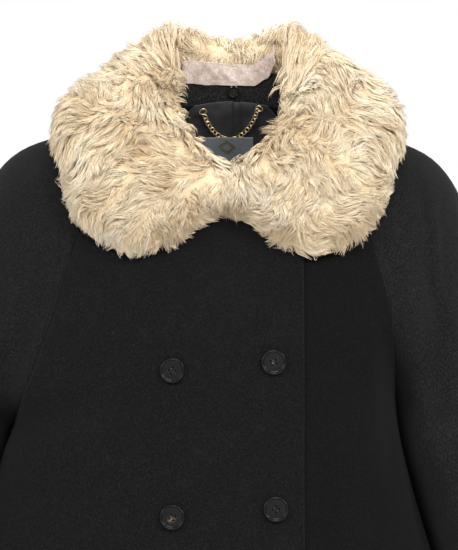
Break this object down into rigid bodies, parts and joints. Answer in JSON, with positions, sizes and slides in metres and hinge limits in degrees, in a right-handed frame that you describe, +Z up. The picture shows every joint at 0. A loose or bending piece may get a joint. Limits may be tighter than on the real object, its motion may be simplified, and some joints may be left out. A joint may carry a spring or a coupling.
{
  "type": "cape coat with fur collar",
  "caption": "Hollow double-breasted A-line cape coat in black wool with raglan sleeves, horn buttons and a wide cream fur collar, filled out as if worn.",
  "frame": {"origin": "inside the neck opening just below the back neckline, where the wearer's shoulders and neck hold the coat", "axes": "+Z up, -Y out of the coat's front, +X to the wearer's left"},
  "size_m": [0.735, 0.3854, 0.851],
  "materials": {
    "wool": "brushed black wool coating with a faint nap",
    "fur": "long wavy cream fur with tan depths",
    "satin": "soft beige satin",
    "lining": "charcoal satin lining",
    "label": "woven grey satin label",
    "gold": "polished gold-coloured metal",
    "horn": "polished dark horn"
  },
  "bodies": {
    "root": {"front_right": "wool", "front_left": "wool", "back": "wool", "sleeve_right": "wool", "sleeve_left": "wool", "neck_band": "wool", "fur_collar": "fur", "collar_stand": "satin", "neck_lining": "lining", "label": "label", "hang_chain": "gold", "chain_ring_right": "gold", "chain_ring_left": "gold", "neck_button": "horn", "button_1_right": "horn", "button_1_left": "horn", "button_2_right": "horn", "button_2_left": "horn", "button_3_right": "horn", "button_3_left": "horn"}
  },
  "joints": []
}
